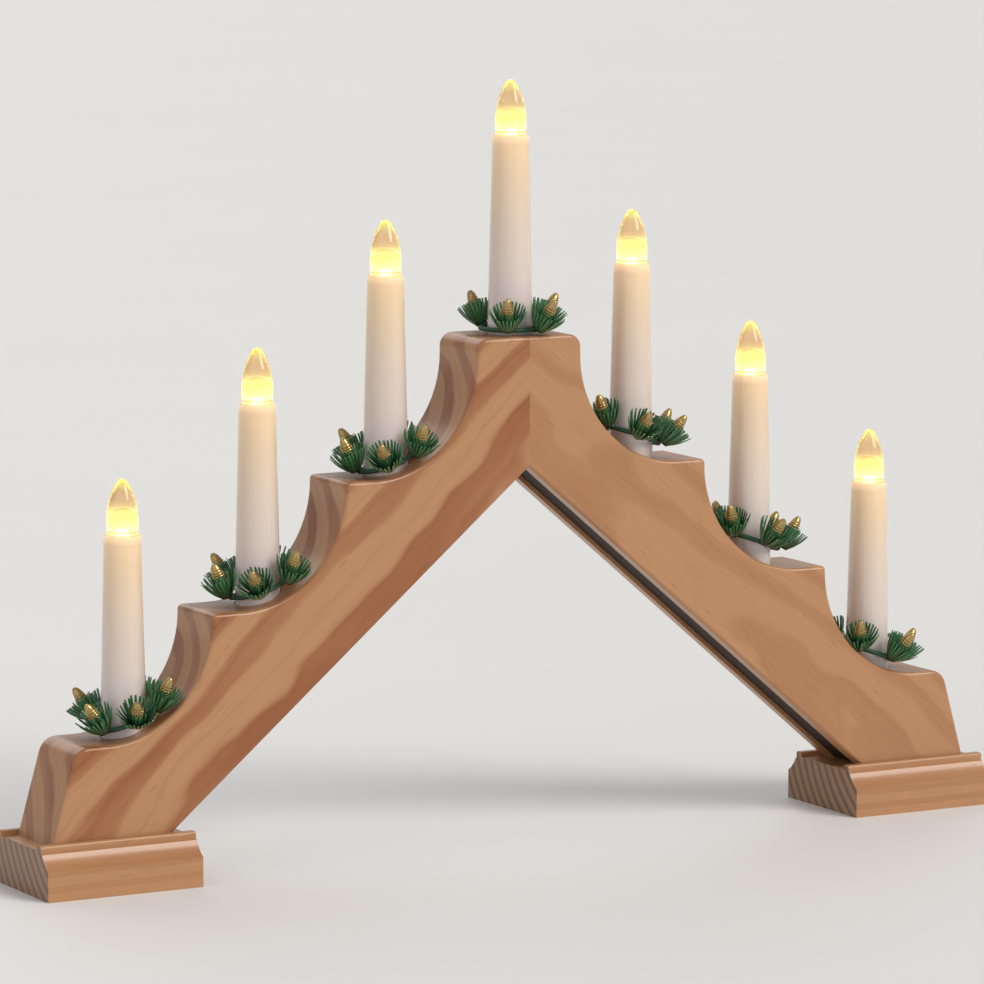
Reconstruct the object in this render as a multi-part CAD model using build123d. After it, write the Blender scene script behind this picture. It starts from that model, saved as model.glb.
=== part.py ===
from build123d import *
import os
from math import atan2, cos, degrees, hypot, pi, radians, sin, sqrt

# A free-standing candle arch. Two stepped pine arms meet in a mitre, stand on two moulded feet and carry
# seven electric candles, each with a loose wreath of moulded fir sprigs and gilt cones.
# X runs along the arch, Y from front to back and Z up from the table. All sizes are in millimetres.

# Arms: a stair of flat steps with a cove under each, cut from a board
arm_thickness = 30.4
apex_half_width = 21.9
apex_depth = 48.5
step_pitch = 54.1
step_drop = 44.35
first_drop = 49.7
outer_step_height = 35.1
step_wall = 2.15
step_corner_radius = 1.8
apex_corner_radius = 5.0
end_corner_radius = 7.0
end_splay = 9.9
base_length = 46.0
edge_radius = 1.4

# Feet: a moulding with a lip along each side of the recess that the arm stands in
foot_length = 61.0
foot_depth = 49.2
foot_overhang = 5.9
foot_side_height = 11.0
foot_floor_height = 17.4
foot_recess_depth = 1.8
lip_width = 3.2
lip_height = 2.9
lip_ledge = 0.8
lip_round = 0.8
foot_cove_depth = 0.6
seat_clearance = 0.3

# Candles: tapered sleeves set into the steps
inner_candle_setback = 23.9
outer_candle_setback = 25.5
tube_length = 80.0
tube_top_diameter = 13.5
tube_base_diameter = 17.2
tube_top_wall = 0.7
tube_base_wall = 1.2
tube_seat_depth = 6.7
tube_hole_clearance = 0.2

# Lamps: a flame-shaped lens over a light-emitting diode on a push-in base
flame_height = 20.4
flame_diameter = 11.6
flame_shoulder_height = 4.6
flame_tip_radius = 2.2
lens_stem_diameter = 11.3
lens_stem_length = 7.0
lens_cavity_diameter = 8.6
lens_cavity_height = 10.2
diode_diameter = 5.0
diode_flange_diameter = 5.8
diode_flange_height = 1.0
diode_height = 9.5
base_flange_diameter = 10.8
base_flange_height = 1.5
base_plug_diameter = 7.0
base_plug_length = 11.5
base_plug_round = 0.8
lamp_clearance = 0.3
socket_floor = 3.6
socket_wall_clearance = 0.1
wire_hole_diameter = 2.0

# Wiring channel under the arms, its cover and the cable in it
groove_width = 18.0
groove_depth = 9.0
cover_recess = 1.5
cover_thickness = 2.5
cover_clearance = 0.15
cable_width = 5.0
cable_thickness = 2.4
riser_inset = 5.0
riser_diameter = 2.4
riser_hole_diameter = 4.0

# Cable inlet at the back of the right arm
inlet_from_middle = 139.0
inlet_barrel_diameter = 6.0
inlet_flange_diameter = 11.0
inlet_flange_thickness = 2.0
inlet_bore_diameter = 3.8
inlet_clearance = 0.1

# Joinery
dowel_diameter = 6.0
dowel_length = 32.0
dowel_spacing = 20.8
dowel_clearance = 0.05
screw_diameter = 3.5
screw_head_diameter = 7.0
screw_head_height = 2.4
screw_length = 30.0
screw_recess = 0.5
screw_point_length = 4.0
screw_spacing = 18.0
screw_from_arm_end = 19.1
screw_clearance = 0.1

# Wreaths: a wire ring, sprigs like shuttlecocks and a ribbed cone in each sprig
ring_radius = 11.0
ring_wire_diameter = 1.8
wreath_tilt = 20.0
wreath_gap = 0.3
sprig_slide = 1.75
sprig_ring_clearance = 0.05
sprig_button_height = 2.5
sprig_button_base_radius = 2.2
sprig_button_top_radius = 3.5
sprig_stem_height = 2.2
sprig_stem_radius = 1.2
needle_count = 10
needle_start_radius = 2.5
needle_tip_radius = 7.4
needle_start_height = 0.6
needle_tip_height = 8.5
needle_width = 1.4
needle_tip_width = 0.9
needle_thickness = 0.7
needle_tip_thickness = 0.4
cone_length = 9.0
cone_radius = 2.4
cone_sides = 7
cone_gap = 0.05

# Sprigs of each wreath, candles counted from the left: degrees round the ring from the outward
# direction, and rise above level
left_end_sprigs = ((30, 54), (86, 48), (142, 66), (-140, 64), (-64, 58))
left_sprigs = ((0, 66), (66, 50), (123, 64), (-140, 64), (-70, 62))
apex_sprigs = ((-122, 62), (-65, 56), (0, 60), (58, 62), (115, 66))
right_inner_sprigs = ((-166, 66), (-109, 48), (-52, 52), (10, 62), (100, 60))
right_sprigs = ((-150, 62), (-93, 52), (-36, 62), (30, 62), (110, 60))
right_end_sprigs = ((-138, 62), (-77, 52), (-18, 60), (50, 60), (130, 62))
sprig_poses = (left_end_sprigs, left_sprigs, left_sprigs, apex_sprigs,
               right_inner_sprigs, right_sprigs, right_end_sprigs)

# Heights and distances that follow, listed from the apex outwards
step_end = [apex_half_width + i * step_pitch for i in range(4)]
step_top = [foot_floor_height + outer_step_height + (3 - i) * step_drop for i in range(4)]
step_top[0] += first_drop - step_drop
cove_radius = step_drop - step_wall
candle_from_middle = [0.0, step_end[1] - inner_candle_setback]
candle_from_middle += [end - outer_candle_setback for end in step_end[2:]]
arm_end = step_end[3] + end_splay
arm_base_start = arm_end - base_length
apex_under = step_top[0] - apex_depth
under_slope = (apex_under - foot_floor_height) / arm_base_start
foot_outer = arm_end + foot_overhang
arm_half = arm_thickness / 2
recess_half = arm_half + seat_clearance
ring_wire = ring_wire_diameter / 2

# Candles from the left: side of the arch, step and distance along X
candle_side = (-1, -1, -1, 1, 1, 1, 1)
candle_step = (3, 2, 1, 0, 1, 2, 3)
candle_x = [side * candle_from_middle[step] for side, step in zip(candle_side, candle_step)]
candle_base = [step_top[step] - tube_seat_depth for step in candle_step]
candle_rim = [base + tube_length for base in candle_base]


def mirrored(shape):
    """The same piece on the other side of the arch."""
    return mirror(shape, about=Plane.YZ)


def revolved(outline):
    """A turned piece from a closed half outline of radius and height."""
    return revolve(Plane.XZ * outline, axis=Axis.Z)


def turned(*points):
    """A turned piece from the corners of its half outline."""
    return revolved(make_face(Polyline(*points, close=True)))


def at(shape, x, z):
    """A piece moved to its candle's axis and height."""
    return Pos(x, 0, z) * shape


def upright(radius, x, y, low, high):
    """A vertical cylinder between two heights."""
    return Pos(x, y, low) * Cylinder(radius, high - low, align=(Align.CENTER, Align.CENTER, Align.MIN))


def along_y(radius, x, z, front, back):
    """A cylinder that runs from front to back."""
    plane = Plane(origin=(x, front, z), x_dir=(1, 0, 0), z_dir=(0, 1, 0))
    return plane * Cylinder(radius, back - front, align=(Align.CENTER, Align.CENTER, Align.MIN))


# Arm outline


def under_height(x, depth=0.0):
    """Height of the sloping underside, or of a line at a depth inside it."""
    return apex_under - under_slope * x + depth * hypot(1, under_slope)


def under_reach(z, depth=0.0):
    """Distance from the middle where that line comes down to a height."""
    return (under_height(0, depth) - z) / under_slope


def slope_band(near, far, start, floor):
    """A band parallel to the underside, between two depths, from near the mitre down to a floor."""
    return make_face(Polyline(
        (start, under_height(start, near)),
        (start, under_height(start, far)),
        (under_reach(floor, far), floor),
        (under_reach(floor, near), floor),
        close=True,
    ))


def arm_outline():
    """Front view of the right arm: mitre, steps with rounded corners and coves, end, base and underside."""
    corners = [min(apex_corner_radius, 0.9 * (first_drop - cove_radius))]
    corners += [min(step_corner_radius, 0.9 * step_wall)] * 2
    edges = [Line((0, apex_under), (0, step_top[0]))]
    start = 0.0
    for i, corner in enumerate(corners):
        end, top, next_top = step_end[i], step_top[i], step_top[i + 1]
        edges += [
            Line((start, top), (end - corner, top)),
            CenterArc((end - corner, top - corner), corner, 90, -90),
            Line((end, top - corner), (end, next_top + cove_radius)),
            CenterArc((end + cove_radius, next_top + cove_radius), cove_radius, 180, 90),
        ]
        start = end + cove_radius
    end_line = FilletPolyline(
        (start, step_top[3]), (step_end[3], step_top[3]), (arm_end, foot_floor_height), radius=end_corner_radius)
    edges += end_line.edges()
    edges += [
        Line((arm_end, foot_floor_height), (arm_base_start, foot_floor_height)),
        Line((arm_base_start, foot_floor_height), (0, apex_under)),
    ]
    return make_face(Wire(edges))


def is_eased(edge):
    """Whether an edge of the board is rounded: all but those at the mitre and on the base."""
    middle = edge.center()
    on_face = abs(abs(middle.Y) - arm_half) < 0.001
    return on_face and middle.X > 0.001 and middle.Z > foot_floor_height + 0.001


def board():
    """The plain right arm, with its front and back edges eased."""
    blank = extrude(Plane.XZ * arm_outline(), amount=arm_half, both=True)
    return fillet(blank.edges().filter_by(is_eased), edge_radius)


def riser_x(i):
    """Where the cable climbs to a candle: on the mitre at the apex, else towards the middle of the arch."""
    return candle_x[i] - candle_side[i] * riser_inset if candle_step[i] else 0.0


def candle_holes():
    """Seats of the sleeves and the cable holes under them, for all candles."""
    radius = tube_base_diameter / 2 + tube_hole_clearance
    cuts = []
    for i in range(7):
        top = step_top[candle_step[i]] + cove_radius
        ceiling = under_height(abs(riser_x(i)), groove_depth)
        cuts.append(upright(radius, candle_x[i], 0, candle_base[i], top))
        cuts.append(upright(riser_hole_diameter / 2, riser_x(i), 0, ceiling - 1, candle_base[i] + 1))
    return cuts


def dowel_height():
    """Level of the dowels, midway between the channel and the apex candle's seat."""
    return (under_height(0, groove_depth) + candle_base[3]) / 2


def dowels(clearance=0.0):
    """Two dowels across the mitre, or the holes for them."""
    rod = Cylinder(dowel_diameter / 2 + clearance, dowel_length + 2 * clearance, rotation=(0, 90, 0))
    return [Pos(0, side * dowel_spacing / 2, dowel_height()) * rod for side in (-1, 1)]


def screw_places(side):
    """The two screws of a foot."""
    return [(side * (arm_end - screw_from_arm_end), y * screw_spacing / 2) for y in (-1, 1)]


def screw_solid(grow=0.0, length=screw_length):
    """A countersunk screw pointing up from its head, or a hole of its shape."""
    head, shank = screw_head_diameter / 2 + grow, screw_diameter / 2 + grow
    return turned((0, 0), (head, 0), (shank, screw_head_height), (shank, length - screw_point_length),
                  (0.4 + grow, length), (0, length))


def inlet_height():
    """Level of the cable inlet, midway between the channel's cover and its ceiling."""
    return under_height(inlet_from_middle, (cover_recess + cover_thickness + groove_depth) / 2)


def make_arms():
    """Both arms with channel, candle seats, dowel holes and screw holes; the inlet's hole is on the right."""
    channel = extrude(Plane.XZ * slope_band(-5, groove_depth, 0, foot_floor_height - 5),
                      amount=groove_width / 2, both=True)
    screw_holes = [Pos(x, y, screw_recess) * screw_solid(screw_clearance, screw_length + screw_clearance)
                   for x, y in screw_places(1)]
    blank = board() - channel - dowels(dowel_clearance) - screw_holes
    inlet_hole = along_y(inlet_barrel_diameter / 2 + inlet_clearance, inlet_from_middle, inlet_height(),
                         groove_width / 2 - 2, arm_half + 1)
    holes = candle_holes()
    return mirrored(blank) - holes, blank - holes - inlet_hole


def make_covers():
    """Thin strips that close the channel, let into its mouth."""
    band = slope_band(cover_recess, cover_recess + cover_thickness, cover_clearance,
                      foot_floor_height + cover_clearance)
    right = extrude(Plane.XZ * band, amount=groove_width / 2 - cover_clearance, both=True)
    return mirrored(right), right


def make_cable():
    """Flat cable on the covers of both arms, a riser into each candle and a lead to the inlet."""
    inner = cover_recess + cover_thickness
    band = slope_band(inner, inner + cable_thickness, 0, foot_floor_height + seat_clearance)
    half = extrude(Plane.XZ * band, amount=cable_width / 2, both=True)
    radius = riser_diameter / 2
    risers = []
    for i in range(7):
        low = under_height(abs(riser_x(i)), inner + cable_thickness / 2)
        high = candle_rim[i] - socket_bottom()
        risers.append(upright(radius, riser_x(i), 0, low, high))
    lead = along_y(radius, inlet_from_middle, inlet_height(), 0, arm_half)
    return half.fuse(mirrored(half), *risers, lead)


def make_inlet():
    """Flanged bush that lines the cable hole."""
    barrel = along_y(inlet_barrel_diameter / 2, inlet_from_middle, inlet_height(), groove_width / 2, arm_half)
    flange = along_y(inlet_flange_diameter / 2, inlet_from_middle, inlet_height(),
                     arm_half, arm_half + inlet_flange_thickness)
    bore = along_y(inlet_bore_diameter / 2, inlet_from_middle, inlet_height(), 0, foot_depth)
    return barrel + flange - bore


def make_feet():
    """A moulding with straight sides, a cove, a lip on each side and a recess for the arm, cut to length."""
    half, lip_out = foot_depth / 2, recess_half + lip_width
    top = foot_floor_height + foot_recess_depth
    ledge = top - lip_height
    cove_start, cove_end = (half, foot_side_height), (lip_out + lip_ledge, ledge)
    side = [
        Line((0, 0), (half, 0)),
        Line((half, 0), cove_start),
        SagittaArc(cove_start, cove_end, foot_cove_depth),
        Line(cove_end, (lip_out, ledge + lip_ledge / 2)),
        Line((lip_out, ledge + lip_ledge / 2), (lip_out, top - lip_round)),
        CenterArc((lip_out - lip_round, top - lip_round), lip_round, 0, 90),
        Line((lip_out - lip_round, top), (recess_half, top)),
        Line((recess_half, top), (recess_half, foot_floor_height)),
        Line((recess_half, foot_floor_height), (0, foot_floor_height)),
        Line((0, foot_floor_height), (0, 0)),
    ]
    back_half = make_face(Wire(side))
    section = back_half + mirror(back_half, about=Plane.YZ)
    moulding = Pos(foot_outer - foot_length, 0, 0) * extrude(Plane.YZ * section, amount=foot_length)
    holes = []
    for x, y in screw_places(1):
        holes.append(Pos(x, y, screw_recess) * screw_solid(screw_clearance))
        holes.append(upright(screw_head_diameter / 2 + screw_clearance, x, y, -1, screw_recess))
    right = moulding - holes
    return mirrored(right), right


def make_screws():
    """The four screws, sunk into the undersides of the feet."""
    screw = screw_solid()
    return [Pos(x, y, screw_recess) * screw for side in (-1, 1) for x, y in screw_places(side)]


# Candles and lamps, each drawn with the sleeve's rim at height zero


def tube_inside(below_rim):
    """Inner radius of the sleeve at a distance below its rim."""
    top = tube_top_diameter / 2 - tube_top_wall
    base = tube_base_diameter / 2 - tube_base_wall
    return top + (base - top) * below_rim / tube_length


def socket_top():
    """Distance of the lamp socket below the rim, just under the lamp's flange."""
    return lens_stem_length + base_flange_height + lamp_clearance


def socket_bottom():
    """Distance of the socket's underside below the rim."""
    return lens_stem_length + base_flange_height + base_plug_length + lamp_clearance + socket_floor


def make_tube():
    """Sleeve: a hollow tapered candle, open at both ends."""
    top, base = tube_top_diameter / 2, tube_base_diameter / 2
    return turned((tube_inside(tube_length), -tube_length), (base, -tube_length), (top, 0), (tube_inside(0), 0))


def make_socket():
    """Plug-in lamp socket, tapered to lodge in the sleeve, with a hole in its floor for the wires."""
    bore = base_plug_diameter / 2 + lamp_clearance
    floor = -socket_bottom() + socket_floor
    hole = wire_hole_diameter / 2
    return turned(
        (hole, -socket_bottom()),
        (tube_inside(socket_bottom()) - socket_wall_clearance, -socket_bottom()),
        (tube_inside(socket_top()) - socket_wall_clearance, -socket_top()),
        (bore, -socket_top()),
        (bore, floor),
        (hole, floor),
    )


def make_lens():
    """Clear flame: a pointed arch in section above a short shoulder, on a stem, with a cavity for the diode."""
    radius, stem = flame_diameter / 2, lens_stem_diameter / 2
    cavity = lens_cavity_diameter / 2
    dome_start = lens_cavity_height - cavity
    tip_height = flame_height - flame_tip_radius
    rise = tip_height - flame_shoulder_height
    sweep = (radius ** 2 + rise ** 2 - flame_tip_radius ** 2) / (2 * (radius - flame_tip_radius))
    turn = degrees(atan2(rise, sweep - radius))
    outline = Wire([
        Line((cavity, -lens_stem_length), (stem, -lens_stem_length)),
        Line((stem, -lens_stem_length), (stem, 0)),
        Line((stem, 0), (radius, flame_shoulder_height)),
        CenterArc((radius - sweep, flame_shoulder_height), sweep, 0, turn),
        CenterArc((0, tip_height), flame_tip_radius, turn, 90 - turn),
        Line((0, flame_height), (0, lens_cavity_height)),
        CenterArc((0, dome_start), cavity, 0, 90),
        Line((cavity, dome_start), (cavity, -lens_stem_length)),
    ])
    return revolved(make_face(outline))


def make_diode():
    """Round-topped diode standing on the lamp's base."""
    radius, flange = diode_diameter / 2, diode_flange_diameter / 2
    foot, shoulder = -lens_stem_length, diode_height - lens_stem_length - radius
    outline = Wire([
        Line((0, foot), (flange, foot)),
        Line((flange, foot), (flange, foot + diode_flange_height)),
        Line((flange, foot + diode_flange_height), (radius, foot + diode_flange_height)),
        Line((radius, foot + diode_flange_height), (radius, shoulder)),
        CenterArc((0, shoulder), radius, 0, 90),
        Line((0, shoulder + radius), (0, foot)),
    ])
    return revolved(make_face(outline))


def make_base():
    """Push-in base: a flange that carries the lens, and a plug."""
    flange, plug = base_flange_diameter / 2, base_plug_diameter / 2
    top = -lens_stem_length
    under = top - base_flange_height
    bottom = under - base_plug_length
    return turned((0, top), (flange, top), (flange, under), (plug, under), (plug, bottom + base_plug_round),
                  (plug - base_plug_round, bottom), (0, bottom))


# Wreaths, each drawn level with its ring round the origin, outward being +X


def make_sprig():
    """Shuttlecock of flat needles fused to a small many-sided button, opening along +Z."""
    turn = 180 / needle_count
    button = loft([
        RegularPolygon(sprig_button_base_radius, needle_count, rotation=turn),
        Pos(0, 0, sprig_button_height) * RegularPolygon(sprig_button_top_radius, needle_count, rotation=turn),
    ], ruled=True)
    spread = atan2(needle_tip_radius - needle_start_radius, needle_tip_height - needle_start_height)
    length = hypot(needle_tip_radius - needle_start_radius, needle_tip_height - needle_start_height)
    root = Plane(origin=(needle_start_radius, 0, needle_start_height), x_dir=(0, 1, 0),
                 z_dir=(sin(spread), 0, cos(spread)))
    needle = loft([
        root * Rectangle(needle_width, needle_thickness),
        root.offset(length) * Rectangle(needle_tip_width, needle_tip_thickness),
    ], ruled=True)
    stem = extrude(Pos(0, 0, sprig_button_height) * RegularPolygon(sprig_stem_radius, needle_count),
                   sprig_stem_height)
    return button.fuse(stem, *[Rot(0, 0, 2 * k * turn) * needle for k in range(needle_count)])


def make_cone():
    """Ribbed cone that stands on a sprig's button: rows of scales, then a smooth tip."""
    rows = [(0.0, 0.62), (0.14, 0.97), (0.22, 0.84), (0.36, 1.0), (0.45, 0.86), (0.72, 0.66), (1.0, 0.2)]
    foot = sprig_button_height + sprig_stem_height + cone_gap
    return loft([Pos(0, 0, foot + height * cone_length) * RegularPolygon(width * cone_radius, cone_sides)
                 for height, width in rows], ruled=True)


def sprig_planes(i):
    """Planes that the sprigs stand on: each rests on the ring with its inner edge and leans outwards."""
    planes = []
    for place, lean in sprig_poses[i]:
        turn = radians(place)
        rise = radians(lean + wreath_tilt * cos(turn) if candle_step[i] else lean)
        way = Vector(cos(turn), sin(turn), 0)
        normal = way * cos(rise) + Vector(0, 0, sin(rise))
        down = way * sin(rise) - Vector(0, 0, cos(rise))
        seat = way * ring_radius + normal * (ring_wire + sprig_ring_clearance) + down * sprig_slide
        planes.append(Plane(origin=seat, x_dir=(-way.Y, way.X, 0), z_dir=normal))
    return planes


def wood_height(x):
    """Height of the stepped top at a distance from the middle."""
    step = next((i for i, end in enumerate(step_end) if x <= end), None)
    if step is None:
        return foot_floor_height
    if step == 0:
        return step_top[0]
    run = max(0.0, step_end[step - 1] + cove_radius - x)
    return step_top[step] + cove_radius - sqrt(max(0.0, cove_radius ** 2 - run ** 2))


def wreath_tilted(i):
    """Turn of a wreath that leans on its cove: outward side low, and level at the apex."""
    lean = radians(wreath_tilt) if candle_step[i] else 0.0
    return Plane(origin=(0, 0, 0), x_dir=(cos(lean), 0, -sin(lean)), z_dir=(sin(lean), 0, cos(lean)))


def wreath_height(i):
    """Height at which the ring and the needles just clear the wood."""
    tilted, middle = wreath_tilted(i), abs(candle_x[i])
    low_points = []
    for k in range(72):
        turn = 2 * pi * k / 72
        ring_point = tilted.from_local_coords(Vector(ring_radius * cos(turn), ring_radius * sin(turn), 0))
        for share in (-1, -0.75, -0.5, 0, 0.5, 0.75, 1):
            drop = ring_wire * sqrt(1 - share ** 2)
            low_points.append(ring_point + Vector(share * ring_wire, 0, -drop))
    for plane in sprig_planes(i):
        for k in range(needle_count):
            turn = 2 * pi * k / needle_count
            spots = [(sprig_button_base_radius, 0.0)]
            for share in (0.0, 0.4, 0.7, 1.0):
                spots.append((needle_start_radius + share * (needle_tip_radius - needle_start_radius),
                              needle_start_height + share * (needle_tip_height - needle_start_height)))
            for radius, height in spots:
                point = plane.from_local_coords(Vector(radius * cos(turn), radius * sin(turn), height))
                low_points.append(tilted.from_local_coords(point) - Vector(0, 0, needle_thickness / 2))
    over_wood = [point for point in low_points if abs(point.Y) < arm_half + needle_width]
    return wreath_gap + max(wood_height(abs(middle + point.X)) - point.Z for point in over_wood)


def make_wreaths():
    """Ring, sprigs and cones of every wreath, in their places on the arch."""
    sprig, cone = make_sprig(), make_cone()
    ring = Torus(ring_radius, ring_wire)
    wreaths = []
    for i in range(7):
        side = candle_side[i]
        spot = Pos(candle_x[i], 0, wreath_height(i)) * (Rot(0, 0, 180) if side < 0 else Rot(0, 0, 0))
        planes, tilted = sprig_planes(i), wreath_tilted(i)
        sprigs = [plane * sprig for plane in planes]
        cones = [plane * cone for plane in planes]
        wreaths.append((
            spot * (tilted * ring),
            [spot * (tilted * piece) for piece in sprigs],
            [spot * (tilted * piece) for piece in cones],
        ))
    return wreaths


def build():
    """Every piece of the arch by name; a list is a group of equal pieces."""
    pieces = {}
    pieces["left_arm"], pieces["right_arm"] = make_arms()
    pieces["left_foot"], pieces["right_foot"] = make_feet()
    pieces["left_channel_cover"], pieces["right_channel_cover"] = make_covers()
    pieces["mitre_dowels"] = dowels()
    pieces["foot_screws"] = make_screws()
    pieces["cable_harness"] = make_cable()
    pieces["cable_inlet"] = make_inlet()
    tube, socket, lens, diode, base = make_tube(), make_socket(), make_lens(), make_diode(), make_base()
    pieces["lamp_sockets"] = [at(socket, x, z) for x, z in zip(candle_x, candle_rim)]
    wreaths = make_wreaths()
    for i in range(7):
        x, z, number = candle_x[i], candle_rim[i], i + 1
        pieces[f"candle_tube_{number}"] = at(tube, x, z)
        pieces[f"lamp_lens_{number}"] = at(lens, x, z)
        pieces[f"lamp_diode_{number}"] = at(diode, x, z)
        pieces[f"lamp_base_{number}"] = at(base, x, z)
        ring, sprigs, cones = wreaths[i]
        pieces[f"wreath_ring_{number}"] = ring
        pieces[f"wreath_sprigs_{number}"] = sprigs
        pieces[f"wreath_cones_{number}"] = cones
    return pieces


def main():
    """Writes one file for each piece or group of equal pieces."""
    os.makedirs("parts", exist_ok=True)
    for name, piece in build().items():
        shape = Compound(children=piece) if isinstance(piece, list) else piece
        shape.label = name
        export_step(shape, f"parts/{name}.step")


main()
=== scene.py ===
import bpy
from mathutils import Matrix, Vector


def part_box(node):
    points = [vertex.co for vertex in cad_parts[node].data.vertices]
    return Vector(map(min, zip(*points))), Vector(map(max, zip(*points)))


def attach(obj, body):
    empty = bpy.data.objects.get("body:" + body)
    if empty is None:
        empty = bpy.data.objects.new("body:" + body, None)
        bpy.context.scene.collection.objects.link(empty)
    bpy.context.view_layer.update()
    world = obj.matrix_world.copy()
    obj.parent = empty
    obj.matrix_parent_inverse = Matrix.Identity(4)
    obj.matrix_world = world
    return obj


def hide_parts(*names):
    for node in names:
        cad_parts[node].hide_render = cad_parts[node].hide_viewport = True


bl_info = {
    "name": "Candle Arch Dressing",
    "version": (1, 0, 0),
    "blender": (4, 5, 0),
    "location": "View3D > Sidebar > Candle Arch",
    "description": "Dresses a packed candle arch with pine, plastic, fir sprigs and gilt cones",
    "category": "Object",
}

import math

import bpy
from mathutils import Matrix, Vector

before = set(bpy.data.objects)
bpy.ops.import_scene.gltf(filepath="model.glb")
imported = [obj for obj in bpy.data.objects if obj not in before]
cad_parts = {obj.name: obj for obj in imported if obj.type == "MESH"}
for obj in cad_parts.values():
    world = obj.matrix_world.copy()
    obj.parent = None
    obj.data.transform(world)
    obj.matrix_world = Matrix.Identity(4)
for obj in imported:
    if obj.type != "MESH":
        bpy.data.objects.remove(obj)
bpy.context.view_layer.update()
CANDLES = range(1, 8)


def mm(value):
    """Millimetres as metres."""
    return value * 0.001


# Sprigs of each wreath as the solids have them: degrees round the ring from the outward direction, and rise
LEFT_END_SPRIGS = ((30, 54), (86, 48), (142, 66), (-140, 64), (-64, 58))
LEFT_SPRIGS = ((0, 66), (66, 50), (123, 64), (-140, 64), (-70, 62))
APEX_SPRIGS = ((-122, 62), (-65, 56), (0, 60), (58, 62), (115, 66))
RIGHT_INNER_SPRIGS = ((-166, 66), (-109, 48), (-52, 52), (10, 62), (100, 60))
RIGHT_SPRIGS = ((-150, 62), (-93, 52), (-36, 62), (30, 62), (110, 60))
RIGHT_END_SPRIGS = ((-138, 62), (-77, 52), (-18, 60), (50, 60), (130, 62))
SPRIG_POSES = (LEFT_END_SPRIGS, LEFT_SPRIGS, LEFT_SPRIGS, APEX_SPRIGS,
               RIGHT_INNER_SPRIGS, RIGHT_SPRIGS, RIGHT_END_SPRIGS)
WREATH_TILT = math.radians(20.0)
RING_RADIUS = mm(11.0)
SEAT_LIFT = mm(0.95)
SEAT_SLIDE = mm(1.75)

# Sizes of a sprig, a cone and a flame, and the slope of the arms, as the solids have them
NEEDLE_ROOT_RADIUS = mm(1.6)
NEEDLE_TIP_RADIUS = mm(7.3)
NEEDLE_TIP_HEIGHT = mm(8.5)
CONE_FOOT = mm(4.7)
CONE_LENGTH = mm(9.0)
CONE_RADIUS = mm(2.4)
FLAME_HEIGHT = mm(20.4)
CAVITY_RADIUS = mm(4.36)
CAVITY_TOP = mm(10.4)
ARM_SLOPE = math.radians(40.16)

# Shape of a cone: where it is widest, its ribs, the share that has them and its rows of scales
CONE_BELLY = 0.36
CONE_RIBS = 9.5
CONE_RIBBED_SHARE = 0.74
CONE_SCALE_ROWS = 6.0

# The photograph's camera: place, turn in degrees, focal length and width in pixels
CAMERA_PLACE = (-1.009957, -1.801740, 0.405121)
CAMERA_YAW, CAMERA_PITCH, CAMERA_ROLL = 29.094, 7.547, 0.183
CAMERA_FOCAL, CAMERA_WIDTH = 5609.593, 984.0
SENSOR_WIDTH = 36.0

# Half the side of the floor
FLOOR_REACH = 40.0

APEX_CANDLE = 4


# Settings


class ArchWood(bpy.types.PropertyGroup):
    """Colours and grain of the pine"""
    early: bpy.props.FloatVectorProperty(
        name="Earlywood", description="Pale wood between the bands", subtype="COLOR", size=3,
        default=(0.430, 0.212, 0.090), min=0.0, max=1.0)
    late: bpy.props.FloatVectorProperty(
        name="Latewood", description="Orange bands of the grain", subtype="COLOR", size=3,
        default=(0.262, 0.076, 0.015), min=0.0, max=1.0)
    end: bpy.props.FloatVectorProperty(
        name="End grain", description="Dark rings on sawn ends", subtype="COLOR", size=3,
        default=(0.120, 0.066, 0.042), min=0.0, max=1.0)
    ring_width: bpy.props.FloatProperty(
        name="Ring width", description="Width of a growth ring in the arms", subtype="DISTANCE",
        default=mm(10.5), min=mm(2), max=mm(30))
    foot_ring_width: bpy.props.FloatProperty(
        name="Foot ring width", description="Width of a growth ring in the feet", subtype="DISTANCE",
        default=mm(4.4), min=mm(1), max=mm(20))


class ArchCandles(bpy.types.PropertyGroup):
    """Colours of the sleeves and lamps"""
    cool: bpy.props.FloatVectorProperty(
        name="Sleeve", description="Plastic far from the lamp", subtype="COLOR", size=3,
        default=(0.650, 0.575, 0.555), min=0.0, max=1.0)
    # Painted lamp light: the tint painted on the sleeve next to the lamp, also the colour of its painted
    # glow.
    lamp_lit_tint: bpy.props.FloatVectorProperty(
        name="Lit sleeve", description="Plastic next to the lamp", subtype="COLOR", size=3,
        default=(0.800, 0.580, 0.350), min=0.0, max=1.0)
    glow: bpy.props.FloatVectorProperty(
        name="Glow", description="Colour of the lit cavity", subtype="COLOR", size=3,
        default=(1.000, 0.830, 0.190), min=0.0, max=1.0)
    # Painted reflection: the peach of the clear upper half stands for the surroundings seen through the
    # plastic.
    flame: bpy.props.FloatVectorProperty(
        name="Flame", description="Tint of the clear upper half of a flame", subtype="COLOR", size=3,
        default=(0.860, 0.600, 0.360), min=0.0, max=1.0)
    length: bpy.props.FloatProperty(
        name="Sleeve length", description="Length over which the glow fades", subtype="DISTANCE",
        default=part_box("candle_tube_1")[1].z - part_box("candle_tube_1")[0].z)


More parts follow.
